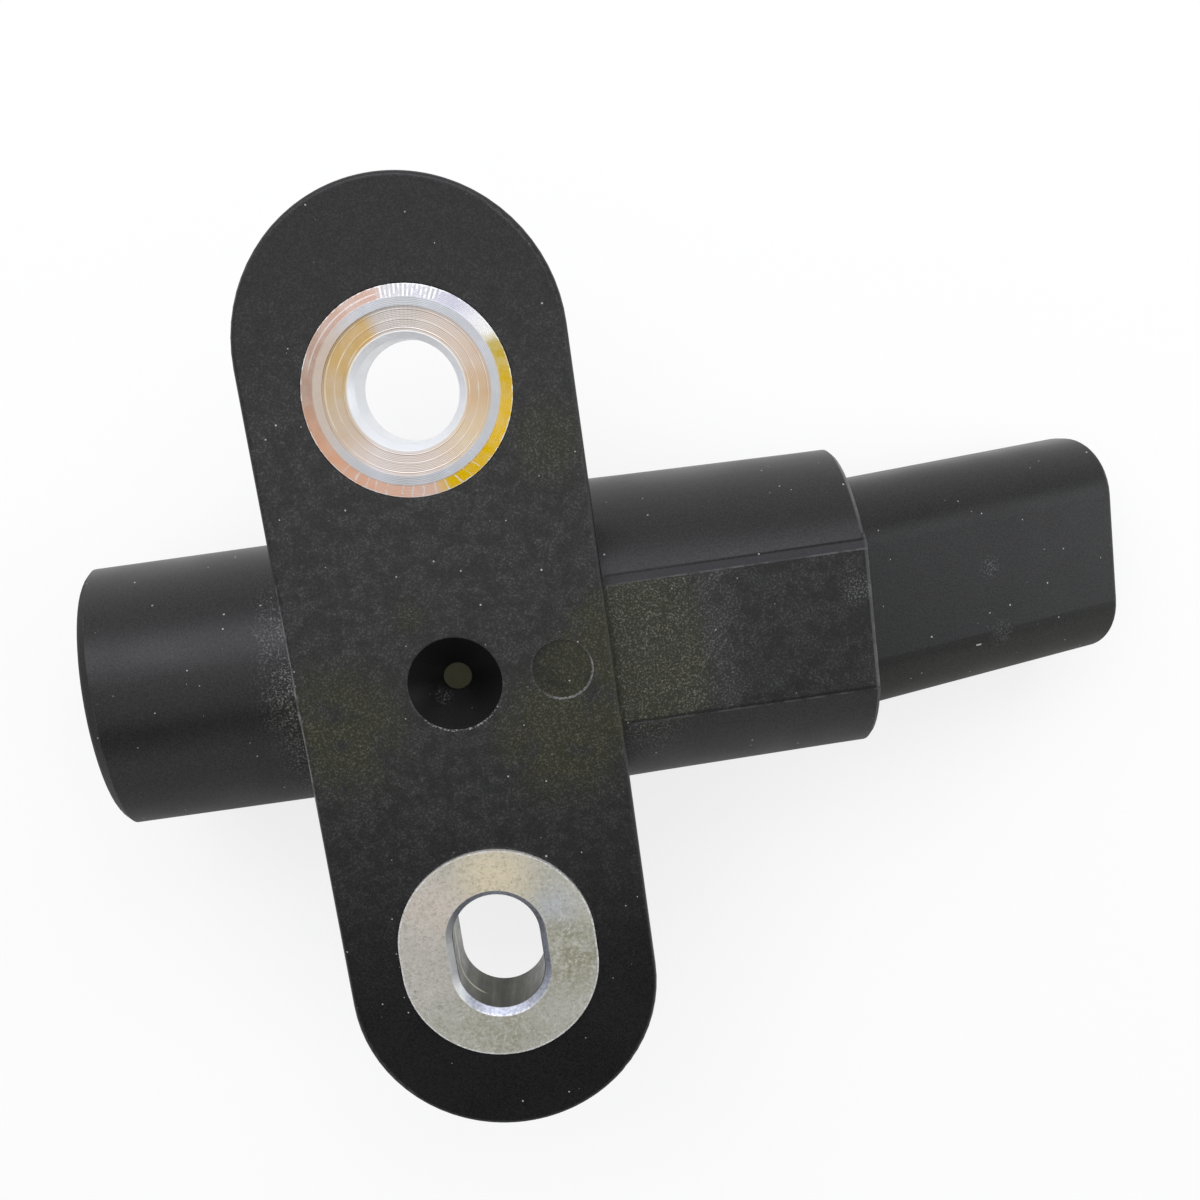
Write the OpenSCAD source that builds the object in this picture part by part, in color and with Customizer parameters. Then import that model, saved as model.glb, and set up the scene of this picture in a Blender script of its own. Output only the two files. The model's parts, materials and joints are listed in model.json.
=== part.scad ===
// Crankshaft position sensor: an inductive pick-up moulded across a two-hole flange plate.
// Origin: centre of the round bush on the plate's back face. +Z leaves the plate's front face,
// +X runs along the barrel towards the plug, +Y runs from the slotted bush to the round bush.

/* [Flange plate] */
// Length of the plate
plate_l = 69.15; // [66:0.05:76]
// Width of the plate, and diameter of its round ends
plate_w = 22.5; // [20:0.5:26]
// Thickness of the plate
plate_t = 4.6; // [4:0.1:7]
// Rounding along the front edge of the plate
plate_edge = 0.4; // [0.2:0.1:1]
// Distance from the round bush to the upper end of the plate
round_end = 14.3; // [12:0.1:18]
// Distance from the slotted bush to the lower end of the plate
slot_end = 14; // [12:0.05:18]

/* [Round bush] */
// Distance from the barrel axis to the round bush
round_reach = 20.4; // [20:0.1:26]
// Outside diameter of the round bush
round_bush_d = 14.2; // [12:0.1:16]
// Bore of the round bush
bore_d = 7; // [6:0.1:8]
// Width of the bevelled rim on the round bush
rim_w = 0.85; // [0.4:0.05:1.2]
// Width of the flat ring inside the bevelled rim
ring_w = 0.6; // [0.3:0.05:1]
// Depth of the turned dish inside the flat ring
dish_depth = 0.2; // [0.1:0.05:0.5]
// Width of the flare at the mouth of the bore
flare_w = 0.45; // [0.2:0.05:0.6]

/* [Slotted bush] */
// Outside width of the slotted bush
slot_bush_w = 14.4; // [13:0.1:16]
// Outside length of the slotted bush
slot_bush_l = 16; // [14.5:0.1:18]
// Width of the slot
slot_w = 6.4; // [5.5:0.1:7]
// Length of the slot
slot_l = 8.9; // [7.5:0.1:10]
// Bevel round the mouth of the slot
slot_bevel = 0.5; // [0.2:0.05:0.8]

/* [Both bushes] */
// Height of the bushes above the front face
bush_proud = 0.3; // [0.1:0.05:0.6]
// Bevel on the bushes' lower outer edges
foot_bevel = 0.3; // [0.1:0.05:0.5]
// Width of the retaining groove round each bush
groove_w = 1.6; // [1:0.1:2]
// Depth of the retaining groove
groove_depth = 0.5; // [0.3:0.05:0.8]

/* [Probe and barrel] */
// Diameter of the probe
probe_d = 20.3; // [19:0.1:22]
// Length of the probe from the plate's centre line, along its axis
probe_l = 28.55; // [26:0.05:40]
// Slant of the probe's end face, which makes the probe shorter at the front
probe_slant = 9.3; // [0:0.1:12]
// Rounding on the probe's end
probe_edge = 1; // [0.4:0.1:1.6]
// Diameter of the barrel beside the plate
barrel_d = 23.7; // [22.5:0.1:26]
// Diameter of the barrel at its end
barrel_end_d = 23.1; // [22:0.1:25]
// Length of the barrel from the plate's centre line
barrel_l = 30.15; // [28:0.05:40]
// Bevel on the rim of the barrel's end
barrel_rim = 0.3; // [0.2:0.1:1]
// Depth of the barrel's crest below the plate's front face
crest_sink = 0.1; // [0.05:0.05:1]
// Wall round the bobbin's head
barrel_wall = 2.3; // [1.8:0.1:3]
// Wall round the winding
probe_wall = 1.5; // [1:0.1:2]
// Wall at the probe's end, on its short side
nose_wall = 1.2; // [1:0.1:2.5]

/* [Flat pad] */
// Distance from the barrel axis to the pad's lower edge
pad_lower = 5.05; // [4.5:0.05:5.5]
// Distance from the barrel axis to the pad's upper edge
pad_upper = 5.25; // [4.5:0.05:5.5]
// Height of the pad's upper edge above the barrel axis, beside the plate
pad_h = 10.85; // [10.7:0.05:11.2]
// Fall of the pad from its upper edge to its lower edge
pad_fall = 0.25; // [0.1:0.05:0.4]
// Width of the sloping strip along the pad's upper edge, with what runs into the barrel
pad_strip_w = 1; // [0.8:0.05:1.4]
// Fall of the sloping strip over that width
pad_strip_h = 0.93; // [0.8:0.01:1.4]

/* [Face marks] */
// Diameter of the centre hole at the front face
hole_d = 6.75; // [5:0.05:8]
// Diameter of the centre hole where it meets the bobbin
hole_floor_d = 1.95; // [1.5:0.05:3]
// Distance of the round mark from the plate's centre line
mark_x = 7.6; // [6:0.1:8]
// Diameter of the round mark
mark_d = 4.3; // [3:0.1:5]
// Depth of the round mark
mark_depth = 0.15; // [0.05:0.05:0.4]

/* [Plug shroud] */
// Width of the shroud
plug_w = 18; // [16:0.1:19]
// Thickness of the shroud
plug_t = 10.2; // [9:0.1:11]
// Radius of the shroud's corners
plug_corner = 4.6; // [3:0.1:4.8]
// Length of the shroud from the barrel's end, along its own axis
plug_l = 23.05; // [21:0.05:30]
// Tilt of the shroud towards the plate's back
plug_tilt = 20.7; // [5:0.1:25]
// Rounding along the edge of the shroud's mouth
mouth_edge = 0.4; // [0.2:0.1:0.8]
// Wall of the shroud
plug_wall = 1.6; // [1.2:0.1:2]
// Depth of the socket
socket_depth = 14; // [12:0.1:16]
// Width of the latch ramp on the back of the shroud
latch_w = 5; // [3:0.1:8]
// Height of the latch ramp
latch_h = 1.2; // [0.6:0.1:2]
// Length of the latch ramp
latch_l = 3.4; // [2:0.1:5]
// Length of the flat crest of the latch ramp
latch_land = 0.8; // [0.4:0.1:1.5]
// Distance from the socket's mouth to the latch ramp
latch_set = 4.5; // [3:0.1:7]

/* [Contact blades] */
// Width of each blade
blade_w = 2.8; // [2:0.1:3]
// Thickness of each blade
blade_t = 0.8; // [0.6:0.05:1]
// Distance between the two blades' centre lines
blade_pitch = 6; // [5:0.1:7]
// Distance of the blade tips below the socket's mouth
tip_recess = 5; // [4:0.1:7]
// Length of the bevelled blade tip
tip_l = 1.2; // [0.6:0.1:2]
// Width left at the end of the bevelled tip
tip_w = 1.4; // [0.8:0.1:1.8]
// Thickness left at the end of the bevelled tip
tip_t = 0.4; // [0.2:0.05:0.5]
// Length of blade held in the bobbin's head
blade_grip = 3; // [2:0.1:4]
// Width of the ear on each blade, along the blade
ear_w = 1.5; // [1:0.1:2]

/* [Coil and core] */
// Diameter of the pole piece and the magnet
pole_d = 6; // [4:0.1:7]
// Length of the magnet
magnet_l = 10; // [6:0.1:12]
// Wall of the bobbin's tube
spool_wall = 1.2; // [0.8:0.1:1.6]
// Thickness of the bobbin's front flange
flange_t = 1.2; // [0.8:0.1:2]
// Length of the bobbin's head
head_l = 16; // [15:0.1:19]
// Wall between the magnet and the blades
stop_wall = 1; // [0.6:0.1:2]
// Length of the bobbin's terminal block
block_l = 10; // [8:0.1:12]
// Thickness of the terminal block
block_t = 5; // [3:0.1:6]
// Plastic beside the blades in the terminal block
block_side = 1; // [0.6:0.1:1.2]
// Thickness of the insulating wrap
tape_t = 0.4; // [0.2:0.05:0.8]
// Diameter of each lead
lead_d = 0.5; // [0.3:0.05:0.8]
// Clearance round each lead in the bobbin's head
lead_gap = 0.25; // [0.1:0.05:0.4]
// Clearance between pieces that are moulded or pressed together
fit = 0.05; // [0.02:0.01:0.1]

/* [Hidden] */
$fn = 96;
// Cutting tools run this far past the faces that they open
over = 1;

// Plate
axis_y = -round_reach;
slot_y = round_end + slot_end - plate_l;
axis_z = plate_t - crest_sink - barrel_d / 2;
end_r = plate_w / 2;
upper_arc_y = round_end - end_r;
lower_arc_y = round_end - plate_l + end_r;

// Bushes
bush_h = plate_t + bush_proud;
groove_z = (plate_t - groove_w) / 2;
bush_r = round_bush_d / 2;
bore_r = bore_d / 2;
dish_r = bush_r - rim_w - ring_w;
dish_z = bush_h - dish_depth;
slot_r = slot_w / 2;
slot_straight = slot_l - slot_w;
slot_bush_r = slot_bush_w / 2;
slot_bush_straight = slot_bush_l - slot_bush_w;

// Stations along the barrel axis, measured from the plate's centre line
probe_x = -probe_l;
flange_x = probe_x + probe_d / 2 * tan(probe_slant) + nose_wall;
head_x = -head_l / 2;
head_end_x = head_l / 2;
blade_x = head_end_x - blade_grip;
magnet_end_x = blade_x - stop_wall;
magnet_x = magnet_end_x - magnet_l;
ear_x = head_end_x + (block_l - ear_w) / 2;

// Radii about the barrel axis
probe_r = probe_d / 2;
barrel_r = barrel_d / 2;
barrel_end_r = barrel_end_d / 2;
draft = atan((barrel_r - barrel_end_r) / (barrel_l - barrel_rim - end_r));
pad_w = pad_lower + pad_upper;
pad_tilt = atan(pad_fall / pad_w);
pad_end_z = axis_z + pad_h * cos(draft) - (barrel_l - end_r - pad_h * sin(draft)) * tan(draft);
pole_r = pole_d / 2;
spool_r = pole_r + fit + spool_wall;
flange_r = probe_r - probe_wall - fit;
tape_r = flange_r - tape_t;
head_r = barrel_r - barrel_wall - fit;

// Contact blades, terminal block and leads
blade_y = blade_pitch / 2;
blade_edge_y = blade_y + blade_w / 2;
block_half_w = blade_edge_y + block_side;
lead_y = block_half_w + fit + lead_d / 2 + lead_gap;
ear_end_y = lead_y + lead_d / 2 + lead_gap;
blade_tip_s = plug_l - tip_recess;
plug_root = plug_t / 2 * tan(plug_tilt) + plug_wall;
hole_floor_z = axis_z + head_r;

// Stands a shape on the barrel axis, with its own +Z along +X
module on_axis() {
    translate([0, axis_y, axis_z])
        rotate([0, 90, 0])
            children();
}

// Stands a shape on the plug axis, which leaves the barrel axis at the barrel's end
module on_plug() {
    translate([barrel_l, axis_y, axis_z])
        rotate([0, 90 + plug_tilt, 0])
            children();
}

// Cylinder between two stations of its axis
module disc(r, from, to) {
    translate([0, 0, from])
        cylinder(r = r, h = to - from);
}

// Flat rectangle with round corners, centred
module rounded_rectangle(size, r) {
    square([size.x - 2 * r, size.y], center = true);
    square([size.x, size.y - 2 * r], center = true);
    for (x = [-1, 1], y = [-1, 1])
        translate([x * (size.x / 2 - r), y * (size.y / 2 - r)])
            circle(r);
}

// Half section of a block, rounded at its upper edge
module half_section(half_w, h, edge) {
    square([half_w - edge, h]);
    square([half_w, h - edge]);
    translate([half_w - edge, h - edge])
        circle(edge);
}

// Block that runs along Y, rounded at its two upper edges
module edged_block(half_w, h, edge, length) {
    rotate([90, 0, 0])
        linear_extrude(length, center = true) {
            half_section(half_w, h, edge);
            mirror([1, 0])
                half_section(half_w, h, edge);
        }
}

// Flange plate with round ends
module plate() {
    for (y = [upper_arc_y, lower_arc_y])
        translate([0, y, 0])
            rotate_extrude()
                half_section(end_r, plate_t, plate_edge);
    translate([0, (upper_arc_y + lower_arc_y) / 2, 0])
        edged_block(end_r, plate_t, plate_edge, upper_arc_y - lower_arc_y);
}

// All that lies behind the probe's slanted end face, rounded off at the probe's rim
module behind_end_face() {
    reach = probe_l + probe_d;
    arc = probe_edge * cos(45);
    translate([probe_x, axis_y, axis_z])
        rotate([0, 90 + probe_slant, 0])
            rotate_extrude() {
                square([probe_r - probe_edge, reach]);
                translate([probe_r - probe_edge, probe_edge])
                    circle(probe_edge);
                translate([0, probe_edge - arc])
                    polygon([
                        [0, 0],
                        [probe_r - probe_edge + arc, 0],
                        [probe_r - probe_edge + arc + reach, reach],
                        [0, reach],
                    ]);
            }
}

// Probe, starting inside the barrel
module probe() {
    intersection() {
        on_axis()
            disc(probe_r, -probe_l - probe_r, 0);
        behind_end_face();
    }
}

// Barrel: straight under the plate, then drafted to its bevelled end
module barrel() {
    on_axis()
        rotate_extrude()
            polygon([
                [0, -end_r],
                [barrel_r, -end_r],
                [barrel_r, end_r],
                [barrel_end_r, barrel_l - barrel_rim],
                [barrel_end_r - barrel_rim, barrel_l],
                [0, barrel_l],
            ]);
}

// Section of the barrel's flat pad, with a sloping strip along its upper edge
module pad_section() {
    polygon([
        [-pad_lower, 0],
        [-pad_lower, pad_h - pad_fall],
        [pad_upper, pad_h],
        [pad_upper + pad_strip_w, pad_h - pad_strip_h],
        [pad_upper + pad_strip_w, 0],
    ]);
}

// Runs a section along the barrel's drafted crest, from under the plate to past the barrel's end
module along_crest() {
    translate([end_r, axis_y, axis_z])
        rotate([0, draft, 0])
            rotate([90, 0, 90])
                translate([0, 0, -end_r])
                    linear_extrude(barrel_l + over)
                        children();
}

// Section of what is cut off the barrel above the pad
module above_pad() {
    polygon([
        [-pad_lower, pad_h - pad_fall],
        [pad_upper, pad_h],
        [pad_upper, barrel_d],
        [-pad_lower, barrel_d],
    ]);
}

// Wedge that bevels the pad's edge at the barrel's end
module pad_end_wedge() {
    side = barrel_rim * sqrt(2);
    intersection() {
        translate([barrel_l, axis_y + pad_upper, pad_end_z])
            rotate([pad_tilt, 0, 0])
                rotate([0, 45, 0])
                    cube([side, 3 * pad_w, side], center = true);
        along_crest()
            translate([-pad_lower, 0])
                square([pad_w + pad_strip_w, barrel_d]);
    }
}

// Barrel with the flat pad in place of its crest
module padded_barrel() {
    difference() {
        union() {
            barrel();
            intersection() {
                along_crest()
                    pad_section();
                on_axis()
                    disc(barrel_r + over, 0, barrel_l);
            }
        }
        along_crest()
            above_pad();
        pad_end_wedge();
    }
}

// Plug shroud, rooted in the barrel and rounded along its mouth
module shroud() {
    length = plug_root + plug_l;
    flat_t = plug_t - 2 * plug_corner;
    flat_w = plug_w - 2 * plug_corner;
    on_plug()
        translate([0, 0, -plug_root]) {
            for (x = [-1, 1], y = [-1, 1])
                translate([x * flat_t / 2, y * flat_w / 2, 0])
                    rotate_extrude()
                        half_section(plug_corner, length, mouth_edge);
            edged_block(plug_t / 2, length, mouth_edge, flat_w);
            rotate([0, 0, 90])
                edged_block(plug_w / 2, length, mouth_edge, flat_t);
        }
}

// Ramp on the back of the shroud that the plug's clip snaps over
module latch() {
    on_plug()
        translate([plug_t / 2, 0, plug_l - latch_set])
            rotate([90, 0, 0])
                linear_extrude(latch_w, center = true)
                    polygon([
                        [-plug_wall / 2, 0],
                        [0, 0],
                        [latch_h, latch_land - latch_l],
                        [latch_h, -latch_l],
                        [-plug_wall / 2, -latch_l],
                    ]);
}

// Space inside the plug shroud
module socket() {
    size = [plug_t - 2 * plug_wall, plug_w - 2 * plug_wall];
    on_plug()
        translate([0, 0, plug_l - socket_depth])
            linear_extrude(socket_depth + over)
                rounded_rectangle(size, plug_corner - plug_wall);
}

// Post that goes from one radius to another, drawn out along Y by a straight stretch
module long_post(r_low, r_high, straight, from, to) {
    h = to - from;
    translate([0, 0, from]) {
        for (y = straight > 0 ? [-straight / 2, straight / 2] : [0])
            translate([0, y, 0])
                cylinder(r1 = r_low, r2 = r_high, h = h);
        if (straight > 0)
            rotate([90, 0, 0])
                linear_extrude(straight, center = true)
                    polygon([[-r_low, 0], [r_low, 0], [r_high, h], [-r_high, h]]);
    }
}

// Bush blank with its retaining groove, grown by a gap to cut its seat
module bush_blank(r, straight, gap, from, to) {
    outer = r + gap;
    inner = outer - groove_depth;
    past = outer + over;
    difference() {
        long_post(outer, outer, straight, from, to);
        difference() {
            long_post(past, past, straight, groove_z + gap, groove_z + groove_w - gap);
            long_post(inner, inner, straight, from, to);
        }
    }
}

// Seats of the two bushes in the plate
module bush_seats() {
    bush_blank(bush_r, 0, fit, -over, plate_t + over);
    translate([0, slot_y, 0])
        bush_blank(slot_bush_r, slot_bush_straight, fit, -over, plate_t + over);
}

// Cone from the front face down to the bobbin's head
module centre_hole() {
    slope = (hole_d - hole_floor_d) / (plate_t - hole_floor_z);
    translate([0, axis_y, hole_floor_z])
        cylinder(d1 = hole_floor_d, d2 = hole_d, h = plate_t - hole_floor_z);
    translate([0, axis_y, plate_t])
        cylinder(d1 = hole_d, d2 = hole_d + slope * over, h = over);
    translate([0, axis_y, axis_z])
        cylinder(d = hole_floor_d, h = head_r + fit);
}

// Shallow round mark beside the centre hole
module face_mark() {
    translate([mark_x, axis_y, plate_t - mark_depth])
        cylinder(d = mark_d, h = mark_depth + over);
}

// A blade's straight run and its tilted run, grown by a gap, up to a length on the plug axis
module blade_run(y, gap, to) {
    translate([blade_x - gap, axis_y + y - blade_w / 2 - gap, axis_z - blade_t / 2 - gap])
        cube([barrel_l - blade_x + gap, blade_w + 2 * gap, blade_t + 2 * gap]);
    translate([barrel_l, axis_y + y - blade_w / 2 - gap, axis_z])
        rotate([-90, 0, 0])
            cylinder(r = blade_t / 2 + gap, h = blade_w + 2 * gap);
    on_plug()
        translate([-blade_t / 2 - gap, y - blade_w / 2 - gap, 0])
            cube([blade_t + 2 * gap, blade_w + 2 * gap, to]);
}

// Ear on a blade's outer edge, where the lead ends, grown by a gap
module blade_ear(side, gap) {
    from_y = blade_edge_y - blade_w / 2;
    mid_y = side * (from_y + ear_end_y) / 2;
    translate([ear_x + ear_w / 2, axis_y + mid_y, axis_z])
        cube([ear_w + 2 * gap, ear_end_y - from_y + 2 * gap, blade_t + 2 * gap], center = true);
}

// Bevelled blade tip
module blade_tip(y) {
    on_plug()
        translate([0, y, blade_tip_s - tip_l])
            intersection() {
                rotate([90, 0, 0])
                    linear_extrude(blade_w, center = true)
                        polygon([
                            [-blade_t / 2, 0],
                            [blade_t / 2, 0],
                            [tip_t / 2, tip_l],
                            [-tip_t / 2, tip_l],
                        ]);
                rotate([90, 0, 90])
                    linear_extrude(blade_t, center = true)
                        polygon([
                            [-blade_w / 2, 0],
                            [blade_w / 2, 0],
                            [tip_w / 2, tip_l],
                            [-tip_w / 2, tip_l],
                        ]);
            }
}

// One contact blade: +1 is the upper side, -1 the lower side
module blade(side) {
    blade_run(side * blade_y, 0, blade_tip_s - tip_l);
    blade_ear(side, 0);
    blade_tip(side * blade_y);
}

// Terminal block behind the bobbin's head, grown by a gap
module terminal_block(gap) {
    translate([head_end_x, axis_y - block_half_w - gap, axis_z - block_t / 2 - gap])
        cube([block_l + gap, 2 * (block_half_w + gap), block_t + 2 * gap]);
}

// Channel beside the terminal block for a lead and its ear
module lead_channel(side) {
    width = ear_end_y - block_half_w + fit;
    translate([head_end_x, axis_y + side * (block_half_w + width / 2), axis_z])
        translate([(ear_x + ear_w + fit - head_end_x) / 2, 0, 0])
            cube([ear_x + ear_w + fit - head_end_x, width, blade_t + 2 * fit], center = true);
}

// Space that the coil, the bobbin and the blades fill inside the moulding
module core_space() {
    on_axis() {
        disc(pole_r + fit, -probe_l - probe_r, flange_x);
        disc(flange_r + fit, flange_x - fit, head_x);
        disc(head_r + fit, head_x - fit, head_end_x + fit);
    }
    terminal_block(fit);
    for (side = [-1, 1]) {
        lead_channel(side);
        blade_run(side * blade_y, fit, plug_l - socket_depth + over);
    }
}

// The black moulding
module housing() {
    color("#2b2b2d")
        difference() {
            union() {
                plate();
                probe();
                padded_barrel();
                shroud();
                latch();
            }
            bush_seats();
            core_space();
            centre_hole();
            face_mark();
            socket();
        }
}

// Turned bush with a round bore
module round_bush() {
    color("#d8c3a0")
        rotate_extrude()
            polygon([
                [bore_r, 0],
                [bush_r - foot_bevel, 0],
                [bush_r, foot_bevel],
                [bush_r, groove_z],
                [bush_r - groove_depth, groove_z],
                [bush_r - groove_depth, groove_z + groove_w],
                [bush_r, groove_z + groove_w],
                [bush_r, plate_t],
                [bush_r - rim_w, bush_h],
                [dish_r, bush_h],
                [dish_r, dish_z],
                [bore_r + flare_w, dish_z],
                [bore_r, dish_z - flare_w],
            ]);
}

// Bush with a slotted hole, bevelled at its mouth
module slotted_bush() {
    color("#a9a69a")
        translate([0, slot_y, 0])
            difference() {
                union() {
                    bush_blank(slot_bush_r, slot_bush_straight, 0, foot_bevel, bush_h);
                    long_post(slot_bush_r - foot_bevel, slot_bush_r, slot_bush_straight, 0, foot_bevel);
                }
                long_post(slot_r, slot_r, slot_straight, -over, bush_h + over);
                long_post(slot_r, slot_r + slot_bevel, slot_straight, bush_h - slot_bevel, bush_h);
            }
}

// Spool, head and terminal block in one moulding
module bobbin() {
    color("#8d8a6a")
        difference() {
            union() {
                on_axis() {
                    disc(flange_r, flange_x, flange_x + flange_t);
                    disc(spool_r, flange_x, head_x);
                    disc(head_r, head_x, head_end_x);
                }
                terminal_block(0);
            }
            on_axis() {
                disc(pole_r + fit, flange_x - over, magnet_end_x + fit);
                for (side = [-1, 1])
                    translate([0, side * lead_y, 0])
                        disc(lead_d / 2 + lead_gap, head_x - over, head_end_x + over);
            }
            for (side = [-1, 1]) {
                blade_run(side * blade_y, fit, over);
                blade_ear(side, fit);
            }
        }
}

// Copper winding between the bobbin's flange and head
module coil_winding() {
    color("#b4622d")
        on_axis()
            difference() {
                disc(tape_r - fit, flange_x + flange_t + fit, head_x - fit);
                disc(spool_r + fit, flange_x, head_x);
            }
}

// Insulating wrap over the winding
module coil_tape() {
    color("#c9a23c")
        on_axis()
            difference() {
                disc(flange_r, flange_x + flange_t + fit, head_x - fit);
                disc(tape_r, flange_x, head_x);
            }
}

// Soft iron pole piece, flush with the probe's end
module pole_piece() {
    color("#7d7f82")
        intersection() {
            on_axis()
                disc(pole_r, -probe_l - probe_r, magnet_x - fit);
            behind_end_face();
        }
}

// Permanent magnet behind the pole piece
module magnet() {
    color("#4a4b50")
        on_axis()
            disc(pole_r, magnet_x, magnet_end_x);
}

// Upper contact blade
module blade_signal() {
    color("#c4bda5")
        blade(1);
}

// Lower contact blade
module blade_return() {
    color("#c4bda5")
        blade(-1);
}

// Lead from the winding's end face to a blade's ear
module lead(side) {
    color("#b4622d")
        on_axis()
            translate([0, side * lead_y, 0])
                disc(lead_d / 2, head_x - fit, ear_x);
}

// Start lead of the winding
module lead_start() {
    lead(1);
}

// Finish lead of the winding
module lead_finish() {
    lead(-1);
}

housing();
round_bush();
slotted_bush();
bobbin();
coil_winding();
coil_tape();
pole_piece();
magnet();
blade_signal();
blade_return();
lead_start();
lead_finish();
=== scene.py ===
import json
import math

import bpy
from mathutils import Matrix, Vector


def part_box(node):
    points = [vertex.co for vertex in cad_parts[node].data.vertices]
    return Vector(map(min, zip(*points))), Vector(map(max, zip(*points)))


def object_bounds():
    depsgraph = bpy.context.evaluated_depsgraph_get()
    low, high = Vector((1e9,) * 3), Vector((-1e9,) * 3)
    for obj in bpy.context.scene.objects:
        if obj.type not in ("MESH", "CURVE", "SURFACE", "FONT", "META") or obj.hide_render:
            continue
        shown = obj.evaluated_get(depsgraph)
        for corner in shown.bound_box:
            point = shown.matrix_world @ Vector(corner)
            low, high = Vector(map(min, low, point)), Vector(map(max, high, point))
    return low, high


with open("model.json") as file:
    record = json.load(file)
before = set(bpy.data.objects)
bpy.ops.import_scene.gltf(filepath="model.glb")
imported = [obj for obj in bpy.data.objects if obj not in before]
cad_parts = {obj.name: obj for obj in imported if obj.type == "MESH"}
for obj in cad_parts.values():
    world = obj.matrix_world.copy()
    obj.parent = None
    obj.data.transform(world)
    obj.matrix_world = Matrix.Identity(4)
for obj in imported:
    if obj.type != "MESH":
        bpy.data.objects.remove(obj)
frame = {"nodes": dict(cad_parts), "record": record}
CAD_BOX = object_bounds()

MM = 0.001


def node_box(node):
    """Lower and upper corner of a CAD node's box, in millimetres."""
    low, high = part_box(node)
    return Vector(low) / MM, Vector(high) / MM


def middle(node):
    """Centre of a CAD node's box, in millimetres."""
    low, high = node_box(node)
    return (low + high) / 2


# Places and sizes that the frame gives, in millimetres
AXIS_Y = middle("magnet").y
AXIS_Z = middle("magnet").z
SLOT_Y = middle("slotted_bush").y
PLATE_FRONT = node_box("housing")[1].z
HOLE_FLOOR_Z = node_box("bobbin")[1].z
BUSH_TOP = node_box("round_bush")[1].z
RIM_OUTER_R = node_box("round_bush")[1].x
SLOT_BUSH_R = node_box("slotted_bush")[1].x

# Other sizes of the part that the finishes follow, in millimetres
PLATE_HALF_W = 11.25
PAD_LOWER = 5.05
PAD_UPPER = 5.25
CREASE = 5.87
BARREL_L = 30.15
BARREL_RIM = 0.3
HOLE_R = 3.38
MARK_X = 7.6
MARK_R = 2.15
RIM_INNER_R = 6.25
RING_INNER_R = 5.65
FLARE_R = 3.95
SLOT_HALF_W = 3.2
SLOT_STRAIGHT = 2.5
SLOT_BEVEL = 0.5
SLOT_BUSH_STRAIGHT = 1.6

# Camera that took the photograph: place, point it looks at on the plate, roll and lens
CAMERA_PLACE = Vector((10.78, 0.22, 89.09))
CAMERA_TARGET = Vector((10.89, -15.89, PLATE_FRONT))
CAMERA_ROLL = math.radians(7.95)
CAMERA_LENS = 37.16
SENSOR_W = 36.0

# Point that the lights face, in millimetres
LIT_POINT = Vector((10.0, AXIS_Y, 0.0))


def rgb(red, green, blue):
    return (red, green, blue, 1.0)


def grey(value):
    return rgb(value, value, value)


WHITE = grey(1.0)


class Tree:
    """A node tree, with a short name for each kind of node that this script uses."""

    def __init__(self, tree):
        self.tree = tree

    def add(self, kind, inputs=None, **settings):
        """Adds a node, sets its properties, and sets or links its inputs."""
        node = self.tree.nodes.new("ShaderNode" + kind)
        for name, value in settings.items():
            setattr(node, name, value)
        for socket, value in (inputs or {}).items():
            self.feed(node.inputs[socket], value)
        return node

    def feed(self, socket, value):
        """Links a socket to another node's output, or sets it to a plain value."""
        if isinstance(value, bpy.types.NodeSocket):
            self.tree.links.new(value, socket)
        else:
            socket.default_value = value

    def math(self, operation, *values):
        return self.add("Math", dict(enumerate(values)), operation=operation).outputs[0]

    def chain(self, operation, first, *others):
        for other in others:
            first = self.math(operation, first, other)
        return first

    def times(self, *values):
        return self.chain("MULTIPLY", *values)

    def plus(self, *values):
        return self.chain("ADD", *values)

    def most(self, *values):
        return self.chain("MAXIMUM", *values)

    def line(self, value, low, high, to_low, to_high):
        """Runs straight from to_low to to_high while value goes from low to high."""
        return self.add("MapRange", {0: value, 1: low, 2: high, 3: to_low, 4: to_high}).outputs[0]

    def step(self, value, low, high, to_low=0.0, to_high=1.0):
        """Runs smoothly from to_low to to_high while value goes from low to high."""
        inputs = {0: value, 1: low, 2: high, 3: to_low, 4: to_high}
        return self.add("MapRange", inputs, interpolation_type="SMOOTHSTEP").outputs[0]

    def between(self, share, low, high):
        """Runs smoothly from low to high while a share goes from zero to one."""
        return self.step(share, 0.0, 1.0, low, high)

    def band(self, value, low, high, soft):
        """One between low and high, fading to zero over soft on both sides."""
        return self.times(self.step(value, low - soft, low), self.step(value, high + soft, high))

    def mix(self, factor, low, high):
        """Colour between two others."""
        return self.add("Mix", {0: factor, 6: low, 7: high}, data_type="RGBA").outputs[2]

    def ramp(self, factor, stops):
        """Colour along a factor; stops are (place, colour) pairs."""
        node = self.add("ValToRGB", {0: factor})
        elements = node.color_ramp.elements
        while len(elements) < len(stops):
            elements.new(1.0)
        for element, (place, colour) in zip(elements, stops):
            element.position = place
            element.color = colour
        return node.outputs[0]


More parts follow.
